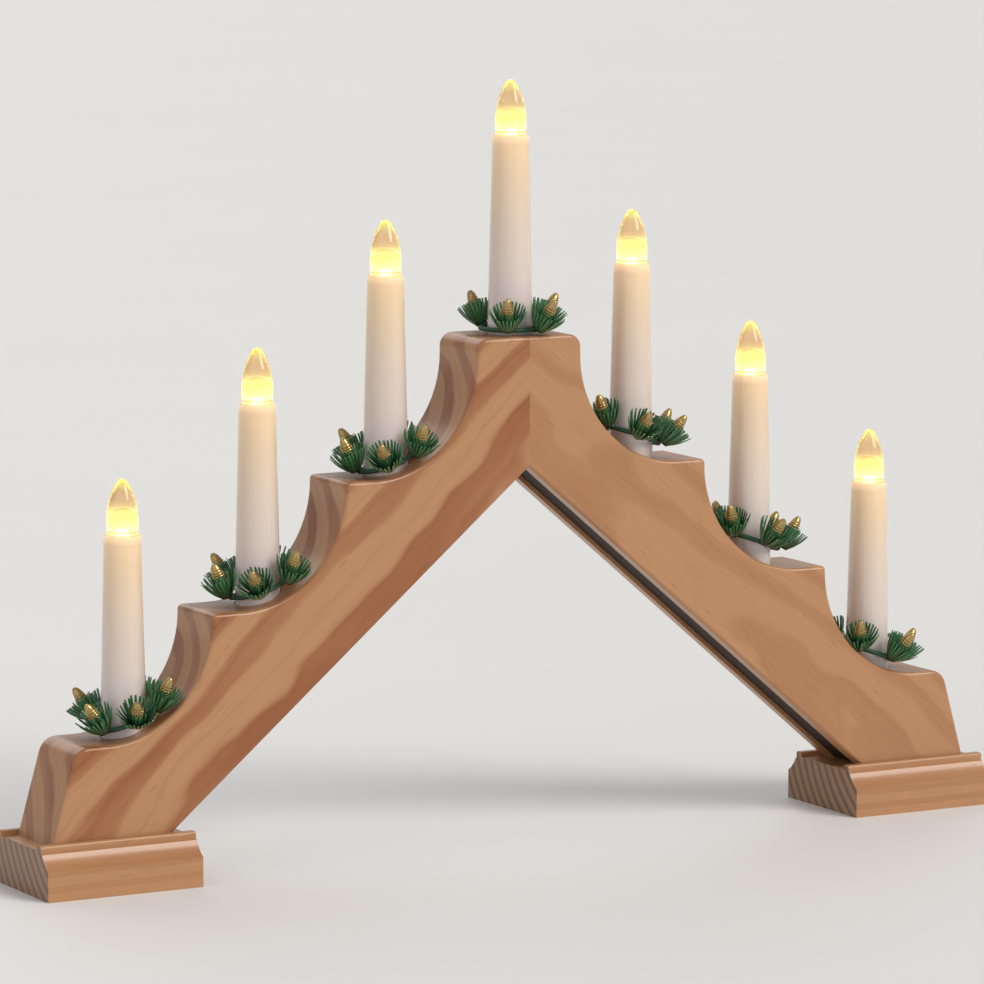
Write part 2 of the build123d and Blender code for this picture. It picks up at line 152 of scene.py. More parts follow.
class ArchWreaths(bpy.types.PropertyGroup):
    """Needles and cones of the wreaths"""
    needles: bpy.props.IntProperty(
        name="Needles", description="Needles in a sprig's outer row", default=28, min=6, max=60)
    needle_width: bpy.props.FloatProperty(
        name="Needle width", description="Width of a needle at its middle", subtype="DISTANCE",
        default=mm(1.15), min=mm(0.2), max=mm(3))
    needle_thickness: bpy.props.FloatProperty(
        name="Needle thickness", description="Thickness of a needle", subtype="DISTANCE",
        default=mm(0.5), min=mm(0.1), max=mm(2))
    scales: bpy.props.IntProperty(
        name="Scales", description="Scales in each row of a cone", default=10, min=4, max=24)
    # The needles' own darker green, mixed with painted shade deep in the sprig.
    root_green_and_shade: bpy.props.FloatVectorProperty(
        name="Needle root", description="Green near the button", subtype="COLOR", size=3,
        default=(0.003, 0.019, 0.005), min=0.0, max=1.0)
    light_green: bpy.props.FloatVectorProperty(
        name="Needle tip", description="Green of the tips", subtype="COLOR", size=3,
        default=(0.054, 0.210, 0.076), min=0.0, max=1.0)
    gold: bpy.props.FloatVectorProperty(
        name="Gilt", description="Gold of the cones", subtype="COLOR", size=3,
        default=(0.560, 0.400, 0.160), min=0.0, max=1.0)
    seed: bpy.props.IntProperty(name="Seed", description="Seed of the needles' variation", default=7)


class ArchStage(bpy.types.PropertyGroup):
    """Floor, light and camera"""
    floor: bpy.props.FloatVectorProperty(
        name="Floor", description="Colour of the floor", subtype="COLOR", size=3,
        default=(0.780, 0.770, 0.750), min=0.0, max=1.0)
    key: bpy.props.FloatProperty(
        name="Key light", description="Strength of the main light", default=2.0, min=0.0)
    fill: bpy.props.FloatProperty(
        name="Fill light", description="Strength of the side and back lights", default=0.55, min=0.0)
    sky: bpy.props.FloatProperty(
        name="Sky", description="Strength of the surrounding light", default=0.44, min=0.0)


# Node helpers


def put(tree, kind, inputs=(), **settings):
    """Adds a node, changes its settings, and fills its inputs by name or place with values or sockets."""
    node = tree.nodes.new(kind)
    for key, value in settings.items():
        setattr(node, key, value)
    pairs = inputs.items() if isinstance(inputs, dict) else enumerate(inputs)
    for key, value in pairs:
        if isinstance(value, bpy.types.NodeSocket):
            tree.links.new(value, node.inputs[key])
        elif value is not None:
            node.inputs[key].default_value = value
    return node


def calc(tree, operation, *values, clamp=False):
    """A math node's result."""
    return put(tree, "ShaderNodeMath", values, operation=operation, use_clamp=clamp).outputs[0]


def colour_mix(tree, factor, first, second, blend="MIX"):
    """A colour between two others."""
    node = put(tree, "ShaderNodeMix", data_type="RGBA", blend_type=blend)
    for place, value in ((0, factor), (6, first), (7, second)):
        if isinstance(value, bpy.types.NodeSocket):
            tree.links.new(value, node.inputs[place])
        else:
            node.inputs[place].default_value = value
    return node.outputs[2]


def shaded(tree, tone, shade):
    """A colour made darker or lighter by a number."""
    grey = put(tree, "ShaderNodeCombineColor", [shade, shade, shade]).outputs[0]
    return colour_mix(tree, 1.0, tone, grey, "MULTIPLY")


def length_of(tree, first, second):
    """Length of a flat vector."""
    return calc(tree, "SQRT", calc(tree, "ADD", calc(tree, "POWER", first, 2.0),
                                   calc(tree, "POWER", second, 2.0)))


def ramp(tree, factor, *stops):
    """A grey ramp given as pairs of place and value."""
    node = put(tree, "ShaderNodeValToRGB", [factor])
    while len(node.color_ramp.elements) < len(stops):
        node.color_ramp.elements.new(0.5)
    for element, (place, value) in zip(node.color_ramp.elements, stops):
        element.position = place
        element.color = (value, value, value, 1.0)
    return node.outputs[0]


def tints(tree, factor, *stops):
    """A colour ramp given as pairs of place and colour."""
    node = put(tree, "ShaderNodeValToRGB", [factor])
    while len(node.color_ramp.elements) < len(stops):
        node.color_ramp.elements.new(0.5)
    for element, (place, colour) in zip(node.color_ramp.elements, stops):
        element.position = place
        element.color = opaque(colour)
    return node.outputs[0]


def spread(tree, vector, x, y, z):
    """Coordinates scaled along each axis."""
    return put(tree, "ShaderNodeVectorMath", [vector, (x, y, z)], operation="MULTIPLY").outputs[0]


def noise(tree, vector, scale, detail=3.0, roughness=0.5):
    """A noise value about one half."""
    return put(tree, "ShaderNodeTexNoise",
               {"Vector": vector, "Scale": scale, "Detail": detail, "Roughness": roughness}).outputs[0]


def surface(name):
    """A new material with its tree, shader and object coordinates."""
    material = bpy.data.materials.new(name)
    material.use_nodes = True
    tree = material.node_tree
    shader = tree.nodes["Principled BSDF"]
    place = put(tree, "ShaderNodeTexCoord").outputs["Object"]
    return material, tree, shader, place


def feed(tree, shader, **values):
    """Sets or links inputs of the shader, with spaces for underscores in their names."""
    for key, value in values.items():
        socket = shader.inputs[key.replace("_", " ")]
        if isinstance(value, bpy.types.NodeSocket):
            tree.links.new(value, socket)
        else:
            socket.default_value = value


def relief(tree, shader, height, strength, distance):
    """Bumps from a height value."""
    bump = put(tree, "ShaderNodeBump", {"Strength": strength, "Distance": distance, "Height": height})
    tree.links.new(bump.outputs[0], shader.inputs["Normal"])


def opaque(colour):
    """A colour with full alpha."""
    return (*colour, 1.0)


def paint(node, material):
    """Gives a solid's object a material in its own slots."""
    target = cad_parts[node]
    target.data.materials.clear()
    target.data.materials.append(material)


# Materials


def pine(name, turn, pith, lean, ring_width, wobble, contrast):
    """Flat-sawn pine: growth rings round a pith line that leans through the board, with fibres and flecks."""
    wood = bpy.context.scene.arch_wood
    material, tree, shader, place = surface(name)
    along = put(tree, "ShaderNodeMapping", {"Vector": place, "Rotation": (0.0, turn, 0.0)}).outputs[0]
    split = put(tree, "ShaderNodeSeparateXYZ", [along]).outputs
    drift_across = noise(tree, spread(tree, along, 9.0, 30.0, 30.0), 1.0, 2.0)
    drift_deep = noise(tree, spread(tree, along, 14.0, 26.0, 26.0), 1.3, 2.0)
    drift_across = calc(tree, "MULTIPLY_ADD", drift_across, wobble, -pith[1] - wobble / 2)
    drift_deep = calc(tree, "MULTIPLY_ADD", drift_deep, wobble, -pith[0] - wobble / 2)
    across = calc(tree, "ADD", split[2], drift_across)
    deep = calc(tree, "ADD", split[1], drift_deep)
    deep = calc(tree, "ADD", deep, calc(tree, "MULTIPLY", split[0], lean))
    radius = length_of(tree, across, deep)
    ring = calc(tree, "FRACT", calc(tree, "DIVIDE", radius, ring_width))
    band = ramp(tree, ring, (0.0, 0.16), (0.07, 0.0), (0.50, 0.04), (0.59, 0.80), (0.80, 1.0), (0.94, 0.85),
                (1.0, 0.16))
    fine = calc(tree, "FRACT", calc(tree, "DIVIDE", radius, ring_width * 0.31))
    fine = ramp(tree, fine, (0.0, 0.1), (0.6, 0.0), (0.9, 1.0), (1.0, 0.1))
    patch = noise(tree, spread(tree, along, 10.0, 60.0, 60.0), 1.0, 3.0)
    patch = calc(tree, "MULTIPLY_ADD", patch, 1.5, 0.05, clamp=True)
    fibre = noise(tree, spread(tree, along, 60.0, 1500.0, 1500.0), 1.0, 3.0, 0.6)
    fleck = noise(tree, spread(tree, along, 110.0, 1100.0, 1100.0), 1.0, 2.0)
    fleck = ramp(tree, fleck, (0.0, 0.0), (0.66, 0.0), (0.76, 1.0))
    depth = calc(tree, "MULTIPLY", calc(tree, "MULTIPLY", band, contrast), patch)
    depth = calc(tree, "ADD", depth, calc(tree, "MULTIPLY", fine, 0.16 * contrast), clamp=True)
    tone = colour_mix(tree, depth, opaque(wood.early), opaque(wood.late))
    shade = calc(tree, "MULTIPLY_ADD", fibre, 0.26, 0.87)
    tone = shaded(tree, tone, shade)
    tone = colour_mix(tree, calc(tree, "MULTIPLY", fleck, 0.34), tone, opaque(wood.end))
    if turn == 0.0:
        normal = put(tree, "ShaderNodeNewGeometry").outputs["Normal"]
        ahead = put(tree, "ShaderNodeSeparateXYZ", [normal]).outputs[0]
        sawn = ramp(tree, calc(tree, "ABSOLUTE", ahead), (0.0, 0.0), (0.93, 0.0), (0.985, 1.0))
        stripes = ramp(tree, ring, (0.0, 1.0), (0.14, 0.55), (0.30, 0.32), (0.62, 0.40), (0.84, 1.0))
        tone = colour_mix(tree, calc(tree, "MULTIPLY", sawn, stripes), tone, opaque(wood.end))
    rough = calc(tree, "MULTIPLY_ADD", fibre, 0.16, 0.30)
    rough = calc(tree, "MULTIPLY_ADD", band, -0.05, rough)
    feed(tree, shader, Base_Color=tone, Roughness=rough, Coat_Weight=0.25, Coat_Roughness=0.12)
    relief(tree, shader, calc(tree, "ADD", fibre, calc(tree, "MULTIPLY", band, -0.5)), 0.10, mm(0.25))
    return material


def plain_board(name, colour, coarse):
    """Pressed board with fine mottling."""
    material, tree, shader, place = surface(name)
    speck = noise(tree, place, coarse, 5.0, 0.7)
    cloud = noise(tree, place, coarse * 0.06, 2.0)
    light = tuple(min(1.0, value * 1.7 + 0.01) for value in colour)
    mix = calc(tree, "MULTIPLY_ADD", speck, 0.7, calc(tree, "MULTIPLY", cloud, 0.25), clamp=True)
    feed(tree, shader, Base_Color=colour_mix(tree, mix, opaque(colour), opaque(light)),
         Specular_IOR_Level=0.12, Roughness=calc(tree, "MULTIPLY_ADD", speck, 0.25, 0.45))
    relief(tree, shader, speck, 0.15, mm(0.15))
    return material


def moulded(name, colour, roughness, grain=900.0):
    """Moulded plastic with a slight texture and cloudy colour."""
    material, tree, shader, place = surface(name)
    cloud = noise(tree, place, 120.0, 2.0)
    speck = noise(tree, place, grain * 3.0, 3.0)
    deep = tuple(value * 0.80 for value in colour)
    feed(tree, shader, Base_Color=colour_mix(tree, cloud, opaque(deep), opaque(colour)),
         Roughness=calc(tree, "MULTIPLY_ADD", speck, 0.20, roughness - 0.10))
    relief(tree, shader, speck, 0.08, mm(0.08))
    return material


def steel(name):
    """Zinc-plated steel with fine turning marks and a cloudy passivated tint."""
    material, tree, shader, place = surface(name)
    cloud = noise(tree, place, 260.0, 3.0)
    marks = noise(tree, spread(tree, place, 300.0, 300.0, 9000.0), 1.0, 2.0)
    feed(tree, shader, Metallic=1.0,
         Base_Color=colour_mix(tree, cloud, (0.60, 0.60, 0.58, 1.0), (0.74, 0.72, 0.64, 1.0)),
         Roughness=calc(tree, "MULTIPLY_ADD", marks, 0.22, 0.22))
    relief(tree, shader, marks, 0.10, mm(0.05))
    return material


def lit_sleeve(name, rim):
    """Cream candle plastic with painted lamp light: a warmer tone and a painted glow near the lamp, cooler
    towards the wood, with faint drawing lines.
    """
    candles = bpy.context.scene.arch_candles
    material, tree, shader, place = surface(name)
    height = put(tree, "ShaderNodeSeparateXYZ", [place]).outputs[2]
    climb = calc(tree, "SUBTRACT", height, rim - candles.length)
    share = calc(tree, "DIVIDE", climb, candles.length, clamp=True)
    # Painted lamp light: the colour warms from the wood up to the lamp.
    painted_lamp_warmth = ramp(tree, share, (0.0, 0.0), (0.30, 0.10), (0.60, 0.42), (0.85, 0.85), (1.0, 1.0))
    lines = noise(tree, spread(tree, place, 900.0, 900.0, 10.0), 1.0, 2.0)
    cloud = noise(tree, spread(tree, place, 60.0, 60.0, 25.0), 1.0, 2.0)
    tone = colour_mix(tree, painted_lamp_warmth, opaque(candles.cool), opaque(candles.lamp_lit_tint))
    shade = calc(tree, "MULTIPLY_ADD", lines, 0.07, 0.93)
    shade = calc(tree, "ADD", shade, calc(tree, "MULTIPLY", cloud, 0.05))
    tone = shaded(tree, tone, shade)
    # Painted glow: emission near the top of the sleeve stands for the lamp's light in the plastic.
    lamp = ramp(tree, share, (0.0, 0.0), (0.55, 0.01), (0.80, 0.05), (0.96, 0.12), (0.995, 0.45))
    feed(tree, shader, Base_Color=tone, Roughness=calc(tree, "MULTIPLY_ADD", lines, 0.10, 0.20),
         Subsurface_Weight=0.18, Subsurface_Radius=(1.0, 0.7, 0.45), Subsurface_Scale=mm(2.5),
         Coat_Weight=0.3, Coat_Roughness=0.12,
         Emission_Color=opaque(candles.lamp_lit_tint), Emission_Strength=lamp)
    relief(tree, shader, lines, 0.04, mm(0.2))
    return material


def clear_flame(name, middle, rim):
    """Clear flame lit by its diode: the cavity's wall glows and the outside stays glassy, with painted lamp
    light in the yellow lower half and tip and a painted reflection of the surroundings in the peach upper
    half.
    """
    candles = bpy.context.scene.arch_candles
    material, tree, shader, place = surface(name)
    local = put(tree, "ShaderNodeMapping", {"Vector": place, "Location": (-middle, 0.0, -rim)}).outputs[0]
    split = put(tree, "ShaderNodeSeparateXYZ", [local]).outputs
    inside_side = calc(tree, "LESS_THAN", length_of(tree, split[0], split[1]), CAVITY_RADIUS)
    below_dome = calc(tree, "LESS_THAN", split[2], CAVITY_TOP)
    cavity = calc(tree, "MULTIPLY", inside_side, below_dome)
    height = put(tree, "ShaderNodeMapRange", [split[2], 0.0, FLAME_HEIGHT, 0.0, 1.0]).outputs[0]
    # Painted light in the base colour: lemon lower half and yellow tip for the diode's light, peach upper
    # half for the surroundings seen through it; the amber rings are the collar's lines.
    amber, painted_lamp_lemon, tip = (0.62, 0.36, 0.09), (0.93, 0.84, 0.46), (0.95, 0.84, 0.30)
    tone = tints(tree, height, (0.0, amber), (0.03, painted_lamp_lemon), (0.06, amber), (0.09, painted_lamp_lemon), (0.44, painted_lamp_lemon),
                 (0.55, candles.flame), (0.76, candles.flame), (0.88, tip), (1.0, tip))
    hot = ramp(tree, height, (0.0, 1.0), (0.10, 0.80), (0.20, 0.20), (0.32, 0.0))
    glow = colour_mix(tree, hot, opaque(candles.glow), (1.0, 0.92, 0.66, 1.0))
    wall = ramp(tree, height, (0.0, 0.70), (0.20, 0.50), (0.44, 0.42), (0.51, 0.22))
    skin = ramp(tree, height, (0.0, 0.02), (0.03, 0.20), (0.06, 0.03), (0.10, 0.24), (0.42, 0.22),
                (0.54, 0.03), (0.80, 0.02), (0.93, 0.10))
    power = put(tree, "ShaderNodeMix", [cavity, None, skin, wall], data_type="FLOAT")
    swirl = noise(tree, local, 700.0, 2.0)
    feed(tree, shader, Base_Color=tone, Transmission_Weight=0.80, IOR=1.46,
         Roughness=calc(tree, "MULTIPLY_ADD", swirl, 0.05, 0.02),
         Emission_Color=glow, Emission_Strength=power.outputs[0])
    return material


def lit_diode(name):
    """Clear resin of a lit diode."""
    material, tree, shader, place = surface(name)
    grain = noise(tree, place, 900.0, 2.0)
    feed(tree, shader, Base_Color=(1.0, 0.92, 0.72, 1.0), Roughness=0.25,
         Emission_Color=colour_mix(tree, grain, (1.0, 0.90, 0.62, 1.0), (1.0, 0.97, 0.86, 1.0)),
         Emission_Strength=3.0)
    return material


def fir_green(name):
    """Glossy moulded needles, darker towards their roots, partly their own green and partly painted shade
    deep in the sprig, paler towards their tips and a little different from one another.
    """
    wreaths = bpy.context.scene.arch_wreaths
    material, tree, shader, place = surface(name)
    along = put(tree, "ShaderNodeAttribute", attribute_name="along").outputs["Fac"]
    shade = put(tree, "ShaderNodeAttribute", attribute_name="shade").outputs["Fac"]
    grain = noise(tree, place, 1600.0, 3.0)
    # Painted shade: the needles darken towards their roots, deep in the sprig.
    mix = calc(tree, "MULTIPLY_ADD", along, 0.55, calc(tree, "MULTIPLY", shade, 0.50))
    mix = calc(tree, "ADD", mix, calc(tree, "MULTIPLY_ADD", grain, 0.2, -0.1), clamp=True)
    tone = colour_mix(tree, mix, opaque(wreaths.root_green_and_shade), opaque(wreaths.light_green))
    feed(tree, shader, Base_Color=tone, Roughness=calc(tree, "MULTIPLY_ADD", grain, 0.20, 0.20),
         Coat_Weight=0.5, Coat_Roughness=0.14)
    relief(tree, shader, grain, 0.12, mm(0.1))
    return material


def gilt(name):
    """Metallised gold with painted shade in the hollows between the scales and towards the cone's foot, and
    fine mottling.
    """
    wreaths = bpy.context.scene.arch_wreaths
    material, tree, shader, place = surface(name)
    along = put(tree, "ShaderNodeAttribute", attribute_name="along").outputs["Fac"]
    grain = noise(tree, place, 1300.0, 4.0)
    # Painted shade: the gold darkens towards the cone's foot and on the body between the scales; the grain
    # adds fine mottling.
    mottle_and_painted_shade = calc(tree, "MULTIPLY_ADD", grain, 0.9, calc(tree, "MULTIPLY_ADD", along, 0.5, -0.25), clamp=True)
    mottle_and_shade_gold = tuple(value * 0.45 for value in wreaths.gold)
    feed(tree, shader, Metallic=1.0, Base_Color=colour_mix(tree, mottle_and_painted_shade, opaque(mottle_and_shade_gold), opaque(wreaths.gold)),
         Roughness=calc(tree, "MULTIPLY_ADD", grain, -0.18, 0.42))
    relief(tree, shader, grain, 0.20, mm(0.12))
    return material


def wound_wire(name, colour):
    """Green wire wound with paper tape."""
    material, tree, shader, place = surface(name)
    turns = noise(tree, place, 1900.0, 2.0)
    cloud = noise(tree, place, 260.0, 2.0)
    light = tuple(value * 2.2 for value in colour)
    feed(tree, shader, Base_Color=colour_mix(tree, cloud, opaque(colour), opaque(light)),
         Roughness=calc(tree, "MULTIPLY_ADD", turns, 0.3, 0.40))
    relief(tree, shader, turns, 0.30, mm(0.2))
    return material


# Geometry trees


def new_tree(name, *inputs):
    """A geometry tree with a geometry input and output, and further named inputs of given kinds."""
    tree = bpy.data.node_groups.new(name, "GeometryNodeTree")
    tree.interface.new_socket("Geometry", in_out="INPUT", socket_type="NodeSocketGeometry")
    for label, kind in inputs:
        tree.interface.new_socket(label, in_out="INPUT", socket_type=kind)
    tree.interface.new_socket("Geometry", in_out="OUTPUT", socket_type="NodeSocketGeometry")
    return tree, tree.nodes.new("NodeGroupInput").outputs


def close_tree(tree, geometry, material):
    """Realizes the geometry, shades it smooth, sets its material and ends the tree."""
    real = put(tree, "GeometryNodeRealizeInstances", [geometry]).outputs[0]
    smooth = put(tree, "GeometryNodeSetShadeSmooth", {"Geometry": real}).outputs[0]
    made = put(tree, "GeometryNodeSetMaterial", {"Geometry": smooth, "Material": material}).outputs[0]
    end = tree.nodes.new("NodeGroupOutput")
    tree.links.new(made, end.inputs[0])


def random_between(tree, low, high, seed):
    """A random number for each element."""
    node = put(tree, "FunctionNodeRandomValue", data_type="FLOAT")
    node.inputs[2].default_value = low
    node.inputs[3].default_value = high
    tree.links.new(seed, node.inputs[8])
    return node.outputs[1]


def stored(tree, geometry, name, value, domain):
    """Keeps a number on the geometry under a name."""
    return put(tree, "GeometryNodeStoreNamedAttribute", {"Geometry": geometry, "Name": name, "Value": value},
               data_type="FLOAT", domain=domain).outputs[0]


def planted(tree, points, piece):
    """The piece on every point, leaning as the point says."""
    lean = put(tree, "GeometryNodeInputNamedAttribute", {"Name": "lean"}, data_type="QUATERNION").outputs[0]
    return put(tree, "GeometryNodeInstanceOnPoints",
               {"Points": points, "Instance": piece, "Rotation": lean}).outputs[0]


def sprig_tree():
    """Shuttlecock of flat needles round a button, on every point."""
    tree, given = new_tree(
        "Fir sprig", ("Needles", "NodeSocketInt"), ("Width", "NodeSocketFloat"),
        ("Thickness", "NodeSocketFloat"), ("Root Radius", "NodeSocketFloat"),
        ("Tip Radius", "NodeSocketFloat"), ("Tip Height", "NodeSocketFloat"),
        ("Seed", "NodeSocketInt"), ("Material", "NodeSocketMaterial"))
    root = put(tree, "ShaderNodeCombineXYZ", [given["Root Radius"], 0.0, mm(0.2)]).outputs[0]
    bow = put(tree, "ShaderNodeCombineXYZ",
              [calc(tree, "MULTIPLY", given["Tip Radius"], 0.74), 0.0,
               calc(tree, "MULTIPLY", given["Tip Height"], 0.40)]).outputs[0]
    tip = put(tree, "ShaderNodeCombineXYZ", [given["Tip Radius"], 0.0, given["Tip Height"]]).outputs[0]
    line = put(tree, "GeometryNodeCurveQuadraticBezier",
               {"Resolution": 6, "Start": root, "Middle": bow, "End": tip}).outputs[0]
    share = put(tree, "GeometryNodeSplineParameter").outputs["Factor"]
    line = stored(tree, line, "along", share, "POINT")
    taper = calc(tree, "SUBTRACT", 1.0, calc(tree, "MULTIPLY", calc(tree, "POWER", share, 4.0), 0.35))
    line = put(tree, "GeometryNodeSetCurveNormal", {"Curve": line}, mode="Z_UP").outputs[0]
    round_line = put(tree, "GeometryNodeCurvePrimitiveCircle", {"Resolution": 6, "Radius": 0.5}).outputs[0]
    flat = put(tree, "ShaderNodeCombineXYZ", [given["Width"], given["Thickness"], 1.0]).outputs[0]
    section = put(tree, "GeometryNodeTransform", {"Geometry": round_line, "Scale": flat}).outputs[0]
    needle = put(tree, "GeometryNodeCurveToMesh",
                 {"Curve": line, "Profile Curve": section, "Scale": taper, "Fill Caps": True}).outputs[0]
    button = put(tree, "GeometryNodeMeshCone",
                 {"Vertices": 14, "Side Segments": 2, "Radius Top": mm(3.4), "Radius Bottom": mm(2.0),
                  "Depth": mm(2.4)}).outputs[0]
    knot = put(tree, "GeometryNodeMeshIcoSphere", {"Radius": mm(1.5), "Subdivisions": 3}).outputs[0]
    knot = put(tree, "GeometryNodeTransform",
               {"Geometry": knot, "Translation": (0.0, SEAT_SLIDE, mm(-0.6)),
                "Scale": (1.4, 1.0, 0.9)}).outputs[0]
    stem = put(tree, "GeometryNodeMeshCylinder",
               {"Vertices": 10, "Radius": mm(1.2), "Depth": mm(2.6)}).outputs[0]
    stem = put(tree, "GeometryNodeTransform",
               {"Geometry": stem, "Translation": (0.0, 0.0, mm(3.5))}).outputs[0]
    sprig = put(tree, "GeometryNodeJoinGeometry").outputs[0]
    for share_of_needles, upright, least, most in ((1.0, 0.0, 0.94, 1.0), (0.6, -0.34, 0.80, 0.92)):
        count = calc(tree, "ROUND", calc(tree, "MULTIPLY", given["Needles"], share_of_needles))
        spots = put(tree, "GeometryNodePoints", {"Count": count}).outputs[0]
        index = put(tree, "GeometryNodeInputIndex").outputs[0]
        turn = calc(tree, "DIVIDE", calc(tree, "MULTIPLY", index, 2 * math.pi), count)
        turn = calc(tree, "ADD", turn, random_between(tree, -0.03, 0.03, given["Seed"]))
        nod = random_between(tree, upright - 0.10, upright, given["Seed"])
        spin = put(tree, "ShaderNodeCombineXYZ", [0.0, nod, turn]).outputs[0]
        size = random_between(tree, least, most, given["Seed"])
        ring = put(tree, "GeometryNodeInstanceOnPoints",
                   {"Points": spots, "Instance": needle, "Rotation": spin, "Scale": size}).outputs[0]
        ring = stored(tree, ring, "shade", random_between(tree, 0.0, 1.0, given["Seed"]), "INSTANCE")
        tree.links.new(ring, sprig.node.inputs[0])
    tree.links.new(button, sprig.node.inputs[0])
    tree.links.new(knot, sprig.node.inputs[0])
    tree.links.new(stem, sprig.node.inputs[0])
    close_tree(tree, planted(tree, given["Geometry"], put(
        tree, "GeometryNodeGeometryToInstance", [sprig]).outputs[0]), given["Material"])
    return tree


def cone_tree():
    """Gilt cone on every point: a pointed body with rows of scales round its lower part."""
    tree, given = new_tree(
        "Gilt cone", ("Scales", "NodeSocketInt"), ("Foot", "NodeSocketFloat"), ("Length", "NodeSocketFloat"),
        ("Radius", "NodeSocketFloat"), ("Material", "NodeSocketMaterial"))

    def girth(share):
        """Radius of the egg-shaped body at a share of its length, widest a third of the way up."""
        span = calc(tree, "MULTIPLY_ADD", calc(tree, "GREATER_THAN", share, CONE_BELLY), 0.11, 0.55)
        off = calc(tree, "DIVIDE", calc(tree, "SUBTRACT", share, CONE_BELLY), span)
        bulge = calc(tree, "SQRT", calc(tree, "SUBTRACT", 1.0, calc(tree, "MULTIPLY", off, off), clamp=True))
        return calc(tree, "MULTIPLY", bulge, given["Radius"])

    start = put(tree, "ShaderNodeCombineXYZ", [0.0, 0.0, given["Foot"]]).outputs[0]
    stop = put(tree, "ShaderNodeCombineXYZ",
               [0.0, 0.0, calc(tree, "ADD", given["Foot"], given["Length"])]).outputs[0]
    line = put(tree, "GeometryNodeCurvePrimitiveLine", {"Start": start, "End": stop}).outputs[0]
    line = put(tree, "GeometryNodeResampleCurve", {"Curve": line, "Count": 42}).outputs[0]
    share = put(tree, "GeometryNodeSplineParameter").outputs["Factor"]
    line = stored(tree, line, "along", share, "POINT")
    section = put(tree, "GeometryNodeCurvePrimitiveCircle", {"Resolution": 16, "Radius": 0.92}).outputs[0]
    rib = calc(tree, "SINE", calc(tree, "MULTIPLY", share, 2 * math.pi * CONE_RIBS))
    rib = calc(tree, "MULTIPLY", rib, calc(tree, "LESS_THAN", share, CONE_RIBBED_SHARE))
    ribbed = calc(tree, "MULTIPLY", girth(share), calc(tree, "MULTIPLY_ADD", rib, 0.06, 0.98))
    body = put(tree, "GeometryNodeCurveToMesh",
               {"Curve": line, "Profile Curve": section, "Scale": ribbed, "Fill Caps": True}).outputs[0]
    scale = put(tree, "GeometryNodeMeshIcoSphere", {"Radius": 1.0, "Subdivisions": 2}).outputs[0]
    scale = put(tree, "GeometryNodeTransform",
                {"Geometry": scale, "Scale": (mm(0.26), mm(0.64), mm(0.30))}).outputs[0]
    count = calc(tree, "MULTIPLY", given["Scales"], CONE_SCALE_ROWS)
    spots = put(tree, "GeometryNodePoints", {"Count": count}).outputs[0]
    index = put(tree, "GeometryNodeInputIndex").outputs[0]
    row = calc(tree, "FLOOR", calc(tree, "DIVIDE", index, given["Scales"]))
    climb = calc(tree, "MULTIPLY_ADD", row, 1 / CONE_RIBS, 0.25 / CONE_RIBS)
    turn = calc(tree, "MULTIPLY", calc(tree, "MULTIPLY_ADD", row, 0.5, index), 2 * math.pi)
    turn = calc(tree, "DIVIDE", turn, given["Scales"])
    out = calc(tree, "MULTIPLY", girth(climb), 0.90)
    spot = put(tree, "ShaderNodeCombineXYZ",
               [calc(tree, "MULTIPLY", out, calc(tree, "COSINE", turn)),
                calc(tree, "MULTIPLY", out, calc(tree, "SINE", turn)),
                calc(tree, "MULTIPLY_ADD", climb, given["Length"], given["Foot"])]).outputs[0]
    spots = put(tree, "GeometryNodeSetPosition", {"Geometry": spots, "Position": spot}).outputs[0]
    spin = put(tree, "ShaderNodeCombineXYZ", [0.0, 0.30, turn]).outputs[0]
    girth_share = calc(tree, "DIVIDE", girth(climb), given["Radius"])
    scales = put(tree, "GeometryNodeInstanceOnPoints",
                 {"Points": spots, "Instance": scale, "Rotation": spin, "Scale": girth_share}).outputs[0]
    # Scales get a high along value so the painted shade of the cone's foot leaves them bright.
    scales = stored(tree, scales, "along", 0.9, "INSTANCE")
    cone = put(tree, "GeometryNodeJoinGeometry").outputs[0]
    tree.links.new(body, cone.node.inputs[0])
    tree.links.new(scales, cone.node.inputs[0])
    close_tree(tree, planted(tree, given["Geometry"], put(
        tree, "GeometryNodeGeometryToInstance", [cone]).outputs[0]), given["Material"])
    return tree


def grown(name, points, leans, tree, **values):
    """A mesh piece that a geometry tree grows on points; leans are quaternions for the points."""
    mesh = bpy.data.meshes.new(name)
    mesh.from_pydata(points, [], [])
    turns = mesh.attributes.new("lean", "QUATERNION", "POINT")
    for item, lean in zip(turns.data, leans):
        item.value = tuple(lean)
    piece = bpy.data.objects.new(name, mesh)
    bpy.context.scene.collection.objects.link(piece)
    grow = piece.modifiers.new("Grow", "NODES")
    grow.node_group = tree
    sockets = {item.name: item.identifier for item in tree.interface.items_tree if item.in_out == "INPUT"}
    for key, value in values.items():
        grow[sockets[key.replace("_", " ")]] = value
    bpy.context.view_layer.update()
    graph = bpy.context.evaluated_depsgraph_get()
    made = bpy.data.meshes.new_from_object(
        piece.evaluated_get(graph), preserve_all_data_layers=True, depsgraph=graph)
    piece.modifiers.remove(grow)
    piece.data = made
    bpy.data.meshes.remove(mesh)
    if not made.polygons:
        raise RuntimeError(f"{name} grew nothing")
    return piece


